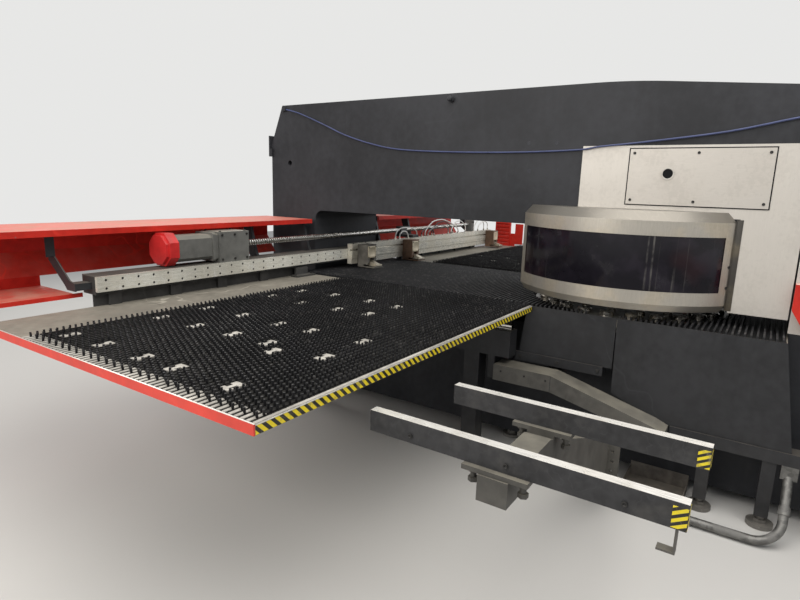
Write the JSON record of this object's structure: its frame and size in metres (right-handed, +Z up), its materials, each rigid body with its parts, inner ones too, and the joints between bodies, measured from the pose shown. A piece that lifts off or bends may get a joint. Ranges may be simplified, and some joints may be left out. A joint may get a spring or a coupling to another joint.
{
  "type": "cnc turret punch press",
  "caption": "Bridge-frame turret punch press with a round guarded head, brush-topped wing tables and a red-hooded sheet carriage with work clamps.",
  "frame": {"origin": "on the floor, at the centre of the machine's plan", "axes": "+X along the sheet carriage to its free end, +Y from the front leg to the rear leg, +Z up"},
  "size_m": [5.42, 4.4, 2.204],
  "materials": {
    "frame_paint": "semi-gloss charcoal paint, worn",
    "silver_paint": "satin silver-white paint",
    "stainless": "brushed stainless sheet",
    "tinted_window": "dark tinted polycarbonate",
    "bristle": "matt black nylon bristle",
    "table_paint": "grey-tan paint, scuffed",
    "black_paint": "satin black paint",
    "beam_steel": "dark oiled casting",
    "polished_steel": "ground and polished steel",
    "tool_steel": "ground tool steel, oiled",
    "turret_steel": "machined casting, oiled",
    "red_paint": "gloss red paint, chipped",
    "red_cap": "moulded red cap",
    "motor_grey": "grey paint",
    "galvanised": "galvanised steel",
    "zinc": "zinc-plated steel",
    "arm_paint": "dark grey paint, dusty",
    "clamp_brown": "brown baked coating",
    "cable_sheath": "blue-grey cable sheath"
  },
  "bodies": {
    "base": {"bridge_frame": "frame_paint", "rear_column": "frame_paint", "side_frame_left": "black_paint", "side_frame_right": "black_paint", "levelling_feet": "zinc", "head_panels": "silver_paint", "access_plates": "silver_paint", "cover_screws": "black_paint", "turret_cover_left": "stainless", "turret_cover_right": "stainless", "cover_windows": "tinted_window", "centre_table": "table_paint", "centre_brush": "bristle", "side_panels": "black_paint", "outriggers": "table_paint", "support_arms": "arm_paint", "cross_beams": "arm_paint", "arm_seats": "zinc", "louvre_guards": "red_paint", "chip_trays": "table_paint", "supply_conduit": "galvanised", "frame_fittings": "black_paint", "signal_cable": "cable_sheath", "y_rails": "polished_steel", "y_drive": "motor_grey", "ram_cylinder": "motor_grey", "index_housings": "motor_grey"},
    "y_table": {"wing_table_left": "table_paint", "wing_table_right": "table_paint", "wing_brush_left": "bristle", "wing_brush_right": "bristle", "edge_strips": "red_paint", "saddles": "beam_steel", "x_beam": "beam_steel", "x_guide_bar": "polished_steel", "x_motor": "motor_grey", "x_motor_cap": "red_cap", "x_gearbox": "motor_grey", "hoods": "red_paint", "hood_arms": "black_paint", "end_guard": "red_paint", "gauge_block": "silver_paint"},
    "x_carriage": {"carriage_beam": "polished_steel", "carriage_nut": "beam_steel"},
    "x_ball_screw": {"x_screw": "polished_steel"},
    "y_ball_screw": {"y_screw": "polished_steel"},
    "upper_turret_set": {"upper_turret": "turret_steel", "upper_turret_shaft": "turret_steel", "punches": "tool_steel"},
    "lower_turret_set": {"lower_turret": "turret_steel", "lower_turret_shaft": "turret_steel", "dies": "tool_steel"},
    "ram_striker": {"striker": "polished_steel"},
    "index_pin_pair": {"index_pins": "polished_steel"},
    "clamp_1": {"clamp_body_1": "clamp_brown"},
    "clamp_2": {"clamp_body_2": "clamp_brown"},
    "clamp_3": {"clamp_body_3": "clamp_brown"},
    "jaw_1": {"clamp_jaw_1": "tool_steel"},
    "jaw_2": {"clamp_jaw_2": "tool_steel"},
    "jaw_3": {"clamp_jaw_3": "tool_steel"}
  },
  "joints": [
    {"name": "y_axis", "type": "slide", "parent": "base", "child": "y_table", "axis": [0, 1, 0], "range_m": [-1.27, 0]},
    {"name": "x_axis", "type": "slide", "parent": "y_table", "child": "x_carriage", "axis": [1, 0, 0], "range_m": [-1.83, 0]},
    {"name": "x_screw_spin", "type": "hinge", "parent": "y_table", "child": "x_ball_screw", "pos_m": [0.5, 1.667, 1.21], "axis": [1, 0, 0], "continuous": true},
    {"name": "y_screw_spin", "type": "hinge", "parent": "base", "child": "y_ball_screw", "pos_m": [-0.5, 0.8, 0.77], "axis": [0, 1, 0], "continuous": true},
    {"name": "upper_turret_spin", "type": "hinge", "parent": "base", "child": "upper_turret_set", "pos_m": [0, -0.57, 1.3], "axis": [0, 0, 1], "continuous": true},
    {"name": "lower_turret_spin", "type": "hinge", "parent": "base", "child": "lower_turret_set", "pos_m": [0, -0.57, 0.7], "axis": [0, 0, 1], "continuous": true},
    {"name": "ram_stroke", "type": "slide", "parent": "base", "child": "ram_striker", "axis": [0, 0, 1], "range_m": [-0.04, 0]},
    {"name": "index_lock", "type": "slide", "parent": "base", "child": "index_pin_pair", "axis": [0, 1, 0], "range_m": [0, 0.032]},
    {"name": "clamp_1_set", "type": "slide", "parent": "x_carriage", "child": "clamp_1", "axis": [1, 0, 0], "range_m": [-0.07, 0.2]},
    {"name": "jaw_1_close", "type": "hinge", "parent": "clamp_1", "child": "jaw_1", "pos_m": [-0.06, 1.4719, 1.0145], "axis": [1, 0, 0], "range_deg": [0, 2.5]},
    {"name": "clamp_2_set", "type": "slide", "parent": "x_carriage", "child": "clamp_2", "axis": [1, 0, 0], "range_m": [-0.3, 0.3]},
    {"name": "jaw_2_close", "type": "hinge", "parent": "clamp_2", "child": "jaw_2", "pos_m": [0.6, 1.4719, 1.0145], "axis": [1, 0, 0], "range_deg": [0, 2.5]},
    {"name": "clamp_3_set", "type": "slide", "parent": "x_carriage", "child": "clamp_3", "axis": [1, 0, 0], "range_m": [-0.6, 0.01]},
    {"name": "jaw_3_close", "type": "hinge", "parent": "clamp_3", "child": "jaw_3", "pos_m": [2.33, 1.4719, 1.0145], "axis": [1, 0, 0], "range_deg": [0, 2.5]}
  ],
  "couplings": [
    {"joint": "x_screw_spin", "follows": "x_axis", "rad_per_m": 157.08},
    {"joint": "y_screw_spin", "follows": "y_axis", "rad_per_m": 157.08},
    {"joint": "lower_turret_spin", "follows": "upper_turret_spin", "ratio": 1},
    {"joint": "jaw_2_close", "follows": "jaw_1_close", "ratio": 1},
    {"joint": "jaw_3_close", "follows": "jaw_1_close", "ratio": 1}
  ]
}
